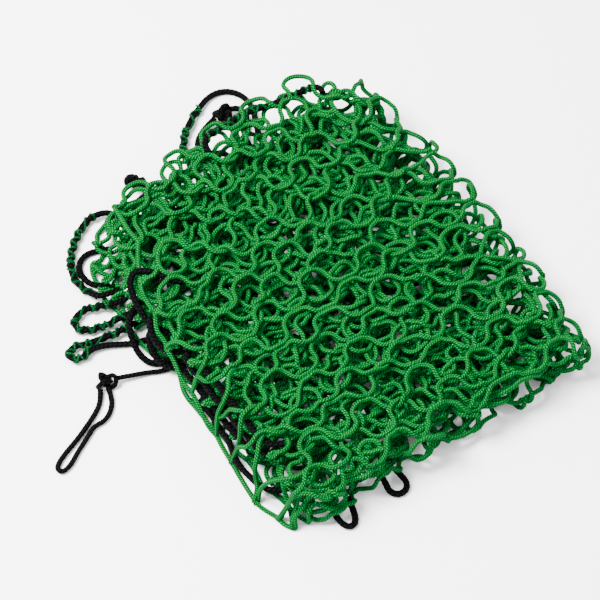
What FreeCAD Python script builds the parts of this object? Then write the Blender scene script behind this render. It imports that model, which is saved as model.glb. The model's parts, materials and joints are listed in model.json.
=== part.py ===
"""Cargo climbing net, folded into a flat bundle for storage, in millimetres.

The green mesh is one panel, folded in half three times, so the bundle is a stack of eight
leaves. The last fold lies along the +X side: the upper half of the stack opens about it like
a book. The fold before it lies along the -Y side, and the first one along the +Y side. The
open edges, with the black border rope in their meshes, are on the -X and +Y sides, where
slack loops of the rope lie on the ground. A tie cord with a knot and a long eye comes out at
the left-hand corner.

+Z is up, the origin is on the ground under the middle of the stack, +Y runs along the last
fold, and +X points towards it. Soft pieces are plain solids of the right size and place.
"""

import FreeCAD
import Part

import math
import os

Vector = FreeCAD.Vector

# Sizes that drive the bundle
LEAVES_PER_HALF = 4
LEAF_PITCH = 7.0          # height that one slack leaf of mesh takes in the stack
LEAF_GAP = 0.4            # free height between two leaves
FOLD_LINE_X = 138.0       # the hinge line of the last fold
NEAR_FOLD_Y = -175.0      # where the leaves turn into the bights of the second fold
FAR_FOLD_Y = 166.0        # where they turn into the bights of the first fold
NEAR_BIGHT_LEFT_X = -104.0
FAR_BIGHT_LEFT_X = -74.0  # the far bights stop short of the rounded corner of their leaves
SEAT_GAP = 0.3            # between a leaf and a bight
CORNER_RADIUS = 14.0      # rounding of a leaf's free corners

# Ropes and cords
ROPE_DIAMETER = 6.0       # black border rope
TIE_DIAMETER = 5.0        # black tie cord
LACING_DIAMETER = 2.2     # the green twine that is wound round the border rope
LACING_GAP = 0.25         # between that twine's turns and the rope
GROUND_GAP = 0.1          # so that no rope reaches below the ground
BEND_SHARE = 0.45         # share of the shorter run that one bend of a route takes

# Knots, each a row of thick turns round a core
ROPE_KNOT_LENGTH = 17.0
TIE_KNOT_LENGTH = 20.0
KNOT_TURNS = 3
KNOT_TURN_SHARE = 1.45    # radius of a turn's middle line, in cord radii
KNOT_CORE_SHARE = 1.3

# Worked out from the sizes above
LEAF_THICKNESS = LEAF_PITCH - LEAF_GAP
HALF_HEIGHT = LEAVES_PER_HALF * LEAF_PITCH
HINGE_Z = HALF_HEIGHT - LEAF_GAP / 2
ROPE_RADIUS = ROPE_DIAMETER / 2
ROPE_Z = ROPE_RADIUS + GROUND_GAP
TIE_Z = TIE_DIAMETER / 2 + GROUND_GAP
LACED_Z = ROPE_RADIUS + LACING_GAP + LACING_DIAMETER + GROUND_GAP
KNOT_Z = ROPE_RADIUS * (KNOT_TURN_SHARE + 1) + GROUND_GAP
TIE_KNOT_Z = TIE_DIAMETER / 2 * (KNOT_TURN_SHARE + 1) + GROUND_GAP


def leaf_floor(number):
    """The height of a leaf's underside. Leaf 1 lies on the ground."""
    return (number - 1) * LEAF_PITCH


def leaf_middle(number):
    """The height of the middle of a leaf."""
    return leaf_floor(number) + LEAF_THICKNESS / 2


def gap_middle(number):
    """The height of the middle of the gap above a leaf."""
    return number * LEAF_PITCH - LEAF_GAP / 2


# The free outline of each leaf in plan, from its far end at the last fold round to its near
# end. The open edges don't lie neatly on each other, so each leaf has its own.
LEAF_OUTLINES = {
    1: [(60, 186), (-46, 190), (-116, 171), (-147, 120), (-137, 28), (-137, -2), (-163, -112),
        (-166, -146), (-148, -164), (-130, -175)],
    2: [(60, 185), (-40, 191), (-104, 175), (-139, 134), (-136, 60), (-130, 28), (-134, -175)],
    3: [(-92, 166), (-136, 128), (-132, -175)],
    4: [(-90, 166), (-131, 120), (-128, -175)],
    5: [(-88, 166), (-134, 118), (-131, -175)],
    6: [(-84, 166), (-129, 112), (-127, -175)],
    7: [(108, 180), (60, 189), (-20, 184), (-92, 172), (-130, 104), (-130, -175)],
    8: [(104, 181), (56, 188), (-24, 180), (-84, 168), (-100, 112), (-102, 52), (-126, 18), (-126, -175)],
}

# Leaves 3 to 6 turn into a far bight, so their far edge ends in line with it
FAR_FOLDED = (3, 4, 5, 6)

# The routes of the ropes and cords, point by point
MID_1, MID_2, MID_3, MID_4, MID_5, MID_6, MID_7, MID_8 = [leaf_middle(n) for n in LEAF_OUTLINES]

FAR_OUTER_LOOP = [
    (65, 180.5, MID_2), (69.5, 193.5, 10.5), (76.5, 207.5, 9), (82, 222, 5.5), (79.5, 237, ROPE_Z),
    (69, 247.5, ROPE_Z), (54.5, 249.5, ROPE_Z), (37.5, 241.5, ROPE_Z), (23, 234, LACED_Z),
    (9.5, 224, LACED_Z), (-0.5, 211, LACED_Z), (-4.5, 199.5, 9.4), (-3, 186, MID_2),
]
FAR_INNER_LEAD = [
    (10, 184.5, MID_2), (11.2, 197, 10), (14, 210.5, 5.5), (22.5, 221, ROPE_Z), (34, 226.5, 4.4),
    (46.1, 228.4, KNOT_Z),
]
FAR_INNER_RETURN = [
    (64.7, 228.6, KNOT_Z), (71.3, 226.4, 7), (73, 218, 6.4), (68.5, 208.5, 7.4), (60.5, 201, 9),
    (54.5, 192.5, MID_2), (53, 182, MID_2),
]
FAR_KNOT_TAIL = [
    (56.5, 220.7, 5.6), (54.5, 211, ROPE_Z), (50, 202.5, ROPE_Z), (46.8, 192.8, ROPE_Z), (46.2, 183.3, MID_1),
]
CORNER_LOOP = [
    (-89, 175.4, MID_2), (-92, 187.5, MID_2), (-99, 196.5, 8), (-111.5, 200, LACED_Z),
    (-125.5, 196.5, LACED_Z), (-139, 188, LACED_Z), (-151.5, 176.5, LACED_Z), (-161, 162.5, LACED_Z),
    (-164.5, 147, LACED_Z), (-161.5, 132, LACED_Z), (-155, 120.5, 8.8), (-145, 115.8, MID_2),
    (-134.5, 114.8, MID_2),
]
CORNER_INNER_LOOP = [
    (-117.5, 162.4, MID_1), (-128, 168, ROPE_Z), (-139.5, 168.5, ROPE_Z), (-149, 161.5, ROPE_Z),
    (-152.5, 151, ROPE_Z), (-151, 140.5, ROPE_Z), (-146, 132.6, ROPE_Z), (-137.8, 129.5, MID_1),
]
CORNER_ROPE_END = [
    (-45.4, 187.5, MID_2), (-48.2, 194, 10.5), (-51.6, 200, MID_2),
]
SIDE_LOOP = [
    (-134, 103.3, MID_2), (-147, 104, 9.9), (-158.5, 111, 7.4), (-171, 117.5, LACED_Z),
    (-184, 114.5, LACED_Z), (-189, 104.5, LACED_Z), (-181.5, 96, LACED_Z), (-167, 92, LACED_Z),
    (-150.5, 88.8, 8.6), (-133.6, 88, MID_2),
]
LONG_LOOP = [
    (-133, 76.2, MID_2), (-147.5, 76.1, 9.6), (-162, 78.5, 6), (-176.5, 82, ROPE_Z), (-190, 85, ROPE_Z),
    (-199, 88.8, ROPE_Z), (-207, 87.2, ROPE_Z), (-210, 81, ROPE_Z), (-206, 75.4, ROPE_Z),
    (-197.5, 75.2, ROPE_Z), (-188, 77.8, ROPE_Z), (-176, 74.5, ROPE_Z), (-164, 68, ROPE_Z),
    (-151, 60.6, ROPE_Z), (-137.4, 58.8, MID_1),
]
GATHERED_STRAND_OUTER = [
    (-127.5, 84.2, MID_4), (-139, 83.4, 24.2), (-149, 75, 21.4), (-153, 61.5, 15), (-153.5, 48, 8.4),
    (-150, 37.5, 4.6), (-143.5, 31, 3.4), (-135, 29.5, MID_1),
]
GATHERED_STRAND_INNER = [
    (-131.5, 58.3, MID_3), (-142, 57, MID_3), (-148.5, 45.5, 15.5), (-150.5, 33, 13),
    (-147.5, 20.5, 10.6), (-138, 13.4, MID_2), (-127, 11.6, MID_2),
]
GATHERED_STRAND_TOP = [
    (-96.5, 66, MID_8), (-105.5, 72, MID_8), (-111, 82.5, MID_8), (-118.5, 92, MID_8), (-128.5, 98, MID_8),
    (-137.8, 92, 50), (-141.5, 81, 45.6), (-143, 68, 40), (-142.5, 54.5, 34.6), (-139, 44, 31.9),
    (-129.4, 39.6, MID_5),
]
GATHERED_STRAND_UPPER = [
    (-126.5, 56.3, MID_7), (-137.5, 55, 45), (-147, 46.5, 42.5), (-149.5, 35, 38), (-147.5, 24.2, 33.6),
    (-140, 16.2, MID_5), (-129.8, 13.6, MID_5),
]
OPEN_EDGE_ROPE_LOW = [
    (-127.5, -22, MID_2), (-139, -23.5, MID_2), (-143.5, -34.5, 10.2), (-142.5, -46.5, 10.4),
    (-146.5, -58.5, 10.2), (-144.5, -72, MID_2), (-149.5, -86, MID_2), (-153, -101, 10.2),
    (-151.5, -117, 10.4), (-149.5, -130.5, 10.2), (-141.5, -141, MID_2), (-130, -146, MID_2),
]
OPEN_EDGE_ROPE_MIDDLE = [
    (-126.5, 26.8, MID_4), (-137.8, 23.6, 24), (-141.5, 10, 21), (-139.8, -8, 20.5), (-142.5, -26, 21),
    (-140, -45, 20.4), (-143, -63, 21.2), (-140.5, -82, 20.6), (-141.5, -98, 21.5), (-137.3, -110.3, 24),
    (-125.5, -113.9, MID_4),
]
OPEN_EDGE_ROPE_UPPER = [
    (-125, 10.8, MID_6), (-136.5, 7.5, 38.1), (-140.5, -6, 35.5), (-138.5, -23, 34.6), (-141.5, -41, 35.3),
    (-138.8, -59, 34.8), (-141.5, -77, 35.4), (-138.5, -94, 34.7), (-140.5, -110, 35.6),
    (-135.5, -121.2, 38.1), (-124, -124, MID_6),
]
OPEN_EDGE_ROPE_TOP = [
    (-122.5, -5.5, MID_8), (-133.5, -7.8, 52), (-136.5, -21, 49.5), (-134, -39, 48.9), (-137, -57, 49.4),
    (-134.2, -75, 48.8), (-136.5, -92, 49.3), (-135, -108, 49.6), (-133.5, -121, 52),
    (-122.3, -124.4, MID_8),
]
FAR_EDGE_ROPE_LOW = [
    (32.8, 184.5, MID_1), (33.2, 193.4, ROPE_Z), (24.5, 197, ROPE_Z), (9, 193.8, ROPE_Z), (-10, 195.2, ROPE_Z),
    (-30, 194, ROPE_Z), (-50, 195.4, ROPE_Z), (-69, 191, ROPE_Z), (-86, 188.8, ROPE_Z), (-97, 188.4, ROPE_Z),
    (-105, 182.6, ROPE_Z), (-101.5, 173, MID_1),
]
FAR_EDGE_ROPE_HIGH = [
    (124.9, 168.6, MID_8), (129.8, 179, 52), (119.5, 187.5, 50), (101, 190.5, 49), (80, 193.5, 48.6),
    (58, 196.5, 49.4), (36, 195.5, 48.8), (19, 195.5, 49.4), (6, 193.5, 51), (-3.5, 186, MID_8),
    (-4, 175.5, MID_8),
]
NEAR_LOOP_LEFT = [
    (-107.8, -171, MID_2), (-109, -184, 10), (-112, -196.5, 5.4), (-111, -207.5, ROPE_Z),
    (-105, -213, ROPE_Z), (-98.5, -208.5, ROPE_Z), (-95.5, -198.8, 7), (-94.5, -189.4, MID_2),
]
NEAR_LOOP_RIGHT = [
    (-43, -189.4, MID_2), (-41.5, -196.8, 7.6), (-39.5, -204, 3.8), (-44.5, -210.5, ROPE_Z),
    (-53, -210.5, ROPE_Z), (-58, -203.8, 3.8), (-57, -196.6, 7.6), (-56.5, -189.4, MID_2),
]
TIE_LEAD = [
    (-134.5, 20.5, MID_1), (-147, 22, TIE_Z), (-160.5, 29.5, TIE_Z), (-174.5, 33.6, 5),
    (-187.3, 37.9, TIE_KNOT_Z),
]
TIE_EYE = [
    (-206.6, 36.9, 4.6), (-212, 28, TIE_Z), (-222, 21, TIE_Z), (-235, 16, TIE_Z), (-250, 9.5, TIE_Z),
    (-265, 5, TIE_Z), (-277, -0.5, TIE_Z), (-284.5, -7.5, TIE_Z), (-280.5, -14.5, TIE_Z), (-270, -13, TIE_Z),
    (-256, -4, TIE_Z), (-242, 3, TIE_Z), (-231, 9.5, TIE_Z), (-220.5, 8.5, TIE_Z), (-210, 14.5, TIE_Z),
    (-202.5, 24, TIE_Z), (-199.5, 34.6, 4.6),
]

# Where a knot sits, and the way that its cord runs through it
FAR_LOOP_KNOT = ((55.4, 228.5, KNOT_Z), (1, 0, 0))
CORNER_KNOT = ((-56.6, 207.2, MID_2), (-0.53, 0.83, 0))
TIE_KNOT = ((-197.5, 41, TIE_KNOT_Z), (-1, 0.3, 0))


def outline_face(points, z):
    """A flat face in plan through points, at height z."""
    corners = [Vector(x, y, z) for x, y in points]
    return Part.Face(Part.makePolygon(corners + corners[:1]))


def leaf_outline(number):
    """The whole outline of a leaf in plan, with its edge at the last fold."""
    edge_x = FOLD_LINE_X - SEAT_GAP
    near_y, far_y = NEAR_FOLD_Y + SEAT_GAP, FAR_FOLD_Y - SEAT_GAP
    free = LEAF_OUTLINES[number][:-1] + [(LEAF_OUTLINES[number][-1][0], near_y)]
    if number in FAR_FOLDED:
        free[0] = (free[0][0], far_y)
    return [(edge_x, near_y), (edge_x, far_y)] + free


def leaf(number):
    """One leaf of the folded mesh, as wide and as long as the slack mesh lies."""
    outline = leaf_outline(number)
    slab = outline_face(outline, leaf_floor(number)).extrude(Vector(0, 0, LEAF_THICKNESS))
    return slab.makeFillet(CORNER_RADIUS, free_corners(slab, outline[0][0]))


def free_corners(slab, edge_x):
    """The upright edges of a leaf that don't meet the last fold."""
    upright = [e for e in slab.Edges if abs(e.tangentAt(e.FirstParameter).z) > 0.99]
    return [e for e in upright if e.Vertexes[0].X < edge_x - CORNER_RADIUS]


def half_ring(inner, outer):
    """Half of a flat ring in the XZ plane, on its +X side, around the origin."""
    circles = [Part.Face(Part.Wire(Part.makeCircle(r, Vector(0, 0, 0), Vector(0, 1, 0))))
               for r in (outer, inner)]
    side = Part.makeBox(outer, 1, 2 * outer, Vector(0, -0.5, -outer))
    return circles[0].cut(circles[1]).common(side)


def bight(level, length):
    """The turn that joins two leaves round a fold, level 0 being the innermost.

    It bulges to +X and runs along +Y for length, and its fold line is at the origin.
    """
    inner = LEAF_GAP / 2 + level * LEAF_PITCH
    return half_ring(inner, inner + LEAF_THICKNESS).extrude(Vector(0, length, 0))


def last_fold_bight(level):
    """A bight of the last fold, which joins the two halves of the stack."""
    far_y = FAR_FOLD_Y - SEAT_GAP
    shape = bight(level, far_y - NEAR_FOLD_Y - SEAT_GAP)
    shape.translate(Vector(FOLD_LINE_X, NEAR_FOLD_Y + SEAT_GAP, HINGE_Z))
    return shape


def near_bight(level, middle_z):
    """A bight of the second fold, along the -Y side, around the height middle_z."""
    shape = bight(level, FOLD_LINE_X - SEAT_GAP - NEAR_BIGHT_LEFT_X)
    shape.rotate(Vector(0, 0, 0), Vector(0, 0, 1), -90)
    shape.translate(Vector(NEAR_BIGHT_LEFT_X, NEAR_FOLD_Y, middle_z))
    return shape


def far_bight(middle_z):
    """The bight of the first fold, along the +Y side, around the height middle_z."""
    shape = bight(0, FOLD_LINE_X - SEAT_GAP - FAR_BIGHT_LEFT_X)
    shape.rotate(Vector(0, 0, 0), Vector(0, 0, 1), 90)
    shape.translate(Vector(FOLD_LINE_X - SEAT_GAP, FAR_FOLD_Y, middle_z))
    return shape


def bends(points):
    """Where each bend of a route starts and ends, its middle point and its radius."""
    found = []
    for before, corner, after in zip(points, points[1:], points[2:]):
        back, on = before - corner, after - corner
        half_turn = (math.pi - back.getAngle(on)) / 2
        reach = BEND_SHARE * min(back.Length, on.Length)
        radius = reach / math.tan(half_turn)
        start = corner + back.normalize() * reach
        end = corner + on.normalize() * reach
        inward = (back + on).normalize()
        middle = corner + inward * (radius / math.cos(half_turn) - radius)
        found.append((start, middle, end, radius))
    return found


def path(points):
    """The wire of a route: straight runs joined by tangent arcs."""
    edges, last = [], points[0]
    for start, middle, end, _ in bends(points):
        edges.append(Part.LineSegment(last, start).toShape())
        edges.append(Part.Arc(start, middle, end).toShape())
        last = end
    edges.append(Part.LineSegment(last, points[-1]).toShape())
    return Part.Wire(edges)


def tube(name, route, diameter, leaves=()):
    """A round rope or cord along a route, cut short of the leaves that it comes out of.

    Prints its length, its volume as a share of section times length, and its tightest bends.
    """
    points = [Vector(*p) for p in route]
    wire = path(points)
    start = (points[1] - points[0]).normalize()
    section = Part.Wire(Part.makeCircle(diameter / 2, points[0], start))
    shape = wire.makePipeShell([section], True, False)
    solid = shape if shape.ShapeType == "Solid" else Part.Solid(shape)
    share = solid.Volume / (math.pi * diameter ** 2 / 4 * wire.Length)
    radii = sorted(b[3] for b in bends(points))
    print(f"{name}: length {wire.Length:.0f}, volume share {share:.4f}, "
          f"tightest bends {[round(r, 1) for r in radii[:3]]}")
    for number in leaves:
        solid = max(solid.cut(leaf_surroundings(number)).Solids, key=lambda piece: piece.Volume)
    return solid


def leaf_surroundings(number):
    """A leaf with its seat gap all round, which no rope enters."""
    face = outline_face(leaf_outline(number), leaf_floor(number) - SEAT_GAP)
    return face.makeOffset2D(SEAT_GAP).extrude(Vector(0, 0, LEAF_THICKNESS + 2 * SEAT_GAP))


def lacing(route, first, last):
    """Turns of the green twine round a rope, one at the middle of each run from first to last."""
    rings = []
    minor = LACING_DIAMETER / 2
    major = ROPE_RADIUS + LACING_GAP + minor
    points = [Vector(*p) for p in route]
    for a, b in list(zip(points, points[1:]))[first:last]:
        rings.append(Part.makeTorus(major, minor, (a + b) * 0.5, b - a))
    return Part.makeCompound(rings)


def knot(place, direction, length, diameter):
    """A hand-tied knot as a short stack of thick turns, fused into one solid."""
    way = Vector(*direction).normalize()
    radius = diameter / 2
    core = length - diameter
    first = Vector(*place) - way * (core / 2)
    turns = Part.makeCylinder(radius * KNOT_CORE_SHARE, core, first, way)
    for number in range(KNOT_TURNS):
        centre = first + way * (core * number / (KNOT_TURNS - 1))
        turns = turns.fuse(Part.makeTorus(radius * KNOT_TURN_SHARE, radius, centre, way))
    return turns.removeSplitter()


LOWER_ROPES = {
    "rope_loop_far_outer": FAR_OUTER_LOOP,
    "rope_loop_far_lead": FAR_INNER_LEAD,
    "rope_loop_far_return": FAR_INNER_RETURN,
    "rope_tail_far_knot": FAR_KNOT_TAIL,
    "rope_loop_corner_outer": CORNER_LOOP,
    "rope_loop_corner_inner": CORNER_INNER_LOOP,
    "rope_end_corner": CORNER_ROPE_END,
    "rope_loop_side": SIDE_LOOP,
    "rope_loop_long": LONG_LOOP,
    "rope_loop_near_left": NEAR_LOOP_LEFT,
    "rope_loop_near_right": NEAR_LOOP_RIGHT,
    "gathered_strand_outer": GATHERED_STRAND_OUTER,
    "gathered_strand_inner": GATHERED_STRAND_INNER,
    "edge_rope_ground": OPEN_EDGE_ROPE_LOW,
    "edge_rope_middle": OPEN_EDGE_ROPE_MIDDLE,
    "edge_rope_far_low": FAR_EDGE_ROPE_LOW,
}
UPPER_ROPES = {
    "gathered_strand_top": GATHERED_STRAND_TOP,
    "gathered_strand_upper": GATHERED_STRAND_UPPER,
    "edge_rope_upper": OPEN_EDGE_ROPE_UPPER,
    "edge_rope_top": OPEN_EDGE_ROPE_TOP,
    "edge_rope_far_high": FAR_EDGE_ROPE_HIGH,
}


def half(name, first, ropes):
    """One half of the stack: four leaves from first up, their bights and their border ropes."""
    numbers = range(first, first + LEAVES_PER_HALF)
    middle = gap_middle(first + 1)
    parts = {f"net_leaf_{n}": leaf(n) for n in numbers}
    parts[f"near_bight_inner_{name}"] = near_bight(0, middle)
    parts[f"near_bight_outer_{name}"] = near_bight(1, middle)
    folded = [n for n in numbers if n in FAR_FOLDED]
    parts[f"far_bight_{name}"] = far_bight(gap_middle(folded[0]))
    parts.update({rope: tube(rope, route, ROPE_DIAMETER, numbers) for rope, route in ropes.items()})
    return parts


def lacings():
    """The green twine on the loops of border rope that lie on the ground."""
    return {
        "lacing_far_loop": lacing(FAR_OUTER_LOOP, 8, 10),
        "lacing_corner_loop": lacing(CORNER_LOOP, 3, 9),
        "lacing_side_loop": lacing(SIDE_LOOP, 3, 7),
    }


def knots():
    """The knots in the border rope, and the tie cord with its knot and its eye."""
    return {
        "far_loop_knot": knot(*FAR_LOOP_KNOT, ROPE_KNOT_LENGTH, ROPE_DIAMETER),
        "corner_knot": knot(*CORNER_KNOT, ROPE_KNOT_LENGTH, ROPE_DIAMETER),
        "tie_knot": knot(*TIE_KNOT, TIE_KNOT_LENGTH, TIE_DIAMETER),
        "tie_cord_lead": tube("tie_cord_lead", TIE_LEAD, TIE_DIAMETER, [1]),
        "tie_cord_eye": tube("tie_cord_eye", TIE_EYE, TIE_DIAMETER),
    }


def fold():
    """The bights of the last fold, which bend when the upper half opens."""
    return {f"fold_bight_{level + 1}": last_fold_bight(level) for level in range(LEAVES_PER_HALF)}


def main():
    """Builds every sub-part and writes one STEP file for each."""
    os.makedirs("parts", exist_ok=True)
    lower = half("low", 1, LOWER_ROPES)
    upper = half("high", 1 + LEAVES_PER_HALF, UPPER_ROPES)
    parts = {**lower, **upper, **fold(), **lacings(), **knots()}
    for name, shape in parts.items():
        shape.exportStep(f"parts/{name}.step")
    print(len(parts), "nodes")


main()
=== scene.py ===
"""The looks of a cargo climbing net that lies folded into a flat bundle.

One knotless net of green braided cord is laid out strand by strand, folded three times on the
lines that the frame gives, and left to settle cord against cord. Black border rope, a tie cord,
knots and winding twine follow the frame's own routes. Sizes in the classes are millimetres, and
meshes are metres.
"""

import json
import logging
import math
from dataclasses import dataclass, field
from enum import Enum

import bpy
import numpy as np
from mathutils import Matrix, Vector

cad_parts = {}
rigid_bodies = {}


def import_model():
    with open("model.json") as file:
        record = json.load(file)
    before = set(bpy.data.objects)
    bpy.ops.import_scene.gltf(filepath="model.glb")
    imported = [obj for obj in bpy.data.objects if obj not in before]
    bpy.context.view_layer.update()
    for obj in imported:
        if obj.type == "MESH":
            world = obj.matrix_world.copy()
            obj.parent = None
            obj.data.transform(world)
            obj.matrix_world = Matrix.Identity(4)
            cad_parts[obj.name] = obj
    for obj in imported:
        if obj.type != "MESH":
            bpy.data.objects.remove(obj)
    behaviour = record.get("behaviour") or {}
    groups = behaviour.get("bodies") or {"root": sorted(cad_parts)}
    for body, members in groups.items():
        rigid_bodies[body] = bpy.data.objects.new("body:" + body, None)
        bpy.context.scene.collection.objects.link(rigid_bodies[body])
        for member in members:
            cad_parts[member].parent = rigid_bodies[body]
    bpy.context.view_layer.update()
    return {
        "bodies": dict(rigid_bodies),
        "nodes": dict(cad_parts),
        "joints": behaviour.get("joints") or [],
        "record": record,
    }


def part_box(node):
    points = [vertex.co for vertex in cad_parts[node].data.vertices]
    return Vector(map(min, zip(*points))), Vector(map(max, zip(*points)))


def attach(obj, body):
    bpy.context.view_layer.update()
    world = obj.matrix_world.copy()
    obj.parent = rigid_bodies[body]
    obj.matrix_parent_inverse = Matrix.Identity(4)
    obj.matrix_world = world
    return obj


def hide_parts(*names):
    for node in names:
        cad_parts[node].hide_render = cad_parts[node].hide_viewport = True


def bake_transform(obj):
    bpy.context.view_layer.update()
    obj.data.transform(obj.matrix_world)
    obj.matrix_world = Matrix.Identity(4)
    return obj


log = logging.getLogger("cargo_net")

MM = 0.001
TINY = 1e-9
NEAR_VERTICAL = 0.9
SEED = 7
BRAID_UV = "braid"


class Half(Enum):
    """The two bodies of the bundle."""

    LOWER = "lower_half"
    UPPER = "upper_half"


class Slot(Enum):
    """The record's material slots."""

    MESH = "green_mesh"
    ROPE = "border_rope"
    TIE = "tie_cord"
    TWINE = "lacing_twine"


class FarEnd(Enum):
    """What is on the far end of a rope."""

    NET = "object"
    KNOT = "knot"


# ---------------------------------------------------------------- meshes


def unit(vectors: np.ndarray) -> np.ndarray:
    """Vectors scaled to length 1 along the last axis."""
    return vectors / np.maximum(np.linalg.norm(vectors, axis=-1, keepdims=True), TINY)


def refine(lines: np.ndarray, parts: int) -> np.ndarray:
    """Adds points to lines on a smooth curve through the points they have.

    Args:
        lines: Points as (line, point, 3).
        parts: How many pieces each run is cut into.

    Returns:
        The finer lines as (line, point, 3).
    """
    before = np.concatenate([2 * lines[:, :1] - lines[:, 1:2], lines[:, :-2]], 1)
    after = np.concatenate([lines[:, 2:], 2 * lines[:, -1:] - lines[:, -2:-1]], 1)
    a, b = lines[:, :-1], lines[:, 1:]
    fine = []
    for k in range(parts):
        f = k / parts
        fine.append(0.5 * (2 * a + (b - before) * f + (2 * before - 5 * a + 4 * b - after) * f ** 2
                           + (3 * a - before - 3 * b + after) * f ** 3))
    inner = np.stack(fine, 2).reshape(len(lines), -1, 3)
    return np.concatenate([inner, lines[:, -1:]], 1)


def carried_frames(lines: np.ndarray) -> tuple[np.ndarray, np.ndarray]:
    """Side directions along lines that don't twist about them.

    Args:
        lines: Points as (line, point, 3).

    Returns:
        Two side directions at each point, square to the line and to each other.
    """
    ahead = unit(np.gradient(lines, axis=1))
    count = lines.shape[1]
    upright = np.abs(ahead[:, 0, 2:3]) >= NEAR_VERTICAL
    start = np.where(upright, [[1.0, 0.0, 0.0]], [[0.0, 0.0, 1.0]])
    side = unit(np.cross(start, ahead[:, 0]))
    sides = np.empty_like(lines)
    sides[:, 0] = side
    for i in range(1, count):
        side = unit(side - ahead[:, i] * np.sum(side * ahead[:, i], -1, keepdims=True))
        sides[:, i] = side
    return sides, np.cross(ahead, sides)


@dataclass(frozen=True)
class CordForm:
    """The round braided form of a cord: its section and the relief of its plait."""

    radius: float
    sides: int = 8
    pitch: float = 6.0
    relief: float = 0.09
    plaits: int = 2

    def rings(self, lines: np.ndarray) -> tuple[np.ndarray, np.ndarray]:
        """Rings of points round lines.

        Args:
            lines: Points as (line, point, 3).

        Returns:
            The rings as (line, point, side, 3), and the length along each line at each point.
        """
        side, up = carried_frames(lines)
        steps = np.linalg.norm(np.diff(lines, axis=1), axis=-1)
        along = np.concatenate([np.zeros((len(lines), 1)), np.cumsum(steps, 1)], 1)
        turn = np.arange(self.sides) / self.sides
        phase = along[..., None] / self.pitch
        lay = np.cos(2 * np.pi * (phase + self.plaits * turn)) * np.cos(
            2 * np.pi * (phase - self.plaits * turn))
        radius = self.radius * (1 - self.relief / 2 + self.relief * lay)
        angle = 2 * np.pi * turn
        rim = (side[:, :, None] * np.cos(angle)[:, None] + up[:, :, None] * np.sin(angle)[:, None])
        return lines[:, :, None] + rim * radius[..., None], along


@dataclass
class CordMesh:
    """Gathers stretches of cord into one mesh with its ends closed."""

    name: str
    points: list[np.ndarray] = field(default_factory=list)
    quads: list[np.ndarray] = field(default_factory=list)
    quad_uv: list[np.ndarray] = field(default_factory=list)
    caps: list[np.ndarray] = field(default_factory=list)
    count: int = 0

    def add(self, rings: np.ndarray, along: np.ndarray, offset: float = 0.0) -> None:
        """Adds one stretch.

        Args:
            rings: The rings as (point, side, 3), in millimetres.
            along: The length along the cord at each ring, in millimetres.
            offset: A shift round the cord, so that neighbours' plaits differ.
        """
        length, sides = rings.shape[:2]
        i, k = np.meshgrid(np.arange(length - 1), np.arange(sides), indexing="ij")
        i, k = i.ravel(), k.ravel()
        after = (k + 1) % sides
        first = self.count
        self.quads.append(first + np.stack(
            [i * sides + k, i * sides + after, (i + 1) * sides + after, (i + 1) * sides + k], 1))
        u = along * MM
        v = k / sides + offset
        wide = 1 / sides
        self.quad_uv.append(np.stack(
            [np.stack([u[i], v], 1), np.stack([u[i], v + wide], 1),
             np.stack([u[i + 1], v + wide], 1), np.stack([u[i + 1], v], 1)], 1))
        self.points.append(rings.reshape(-1, 3) * MM)
        self.caps.append(first + np.arange(sides)[::-1])
        self.caps.append(first + (length - 1) * sides + np.arange(sides))
        self.count += length * sides

    def build(self, material: bpy.types.Material) -> bpy.types.Object:
        """Makes the object with its material, and links it.

        Args:
            material: The finish of the whole piece.

        Returns:
            The new object.
        """
        points, quads = np.concatenate(self.points), np.concatenate(self.quads)
        caps = np.array(self.caps)
        loops = np.concatenate([quads.ravel(), caps.ravel()]).astype(np.int32)
        starts = np.concatenate([np.arange(len(quads)) * 4,
                                 quads.size + np.arange(len(caps)) * caps.shape[1]])
        mesh = bpy.data.meshes.new(self.name)
        mesh.vertices.add(len(points))
        mesh.vertices.foreach_set("co", points.astype(np.float32).ravel())
        mesh.loops.add(len(loops))
        mesh.loops.foreach_set("vertex_index", loops)
        mesh.polygons.add(len(starts))
        mesh.polygons.foreach_set("loop_start", starts.astype(np.int32))
        mesh.update(calc_edges=True)
        mesh.polygons.foreach_set("use_smooth", np.ones(len(starts), bool))
        uv = np.concatenate([np.concatenate(self.quad_uv).reshape(-1, 2),
                             np.zeros((caps.size, 2))])
        mesh.uv_layers.new(name=BRAID_UV).data.foreach_set("uv", uv.astype(np.float32).ravel())
        mesh.validate()
        mesh.materials.append(material)
        piece = bpy.data.objects.new(self.name, mesh)
        bpy.context.scene.collection.objects.link(piece)
        return piece


# ---------------------------------------------------------------- finishes

FRAY_SCALE = 700.0
FRAY_DETAIL = 2.0
LIT_RAMP = (0.35, 0.95)
GROOVE_RAMP = (-0.15, -0.8)
PATCH_SCALE = 38.0
PATCH_DETAIL = 3.0
PLAIT_HEIGHT = 0.0006
GROOVE_ROUGHER = 0.25


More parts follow.
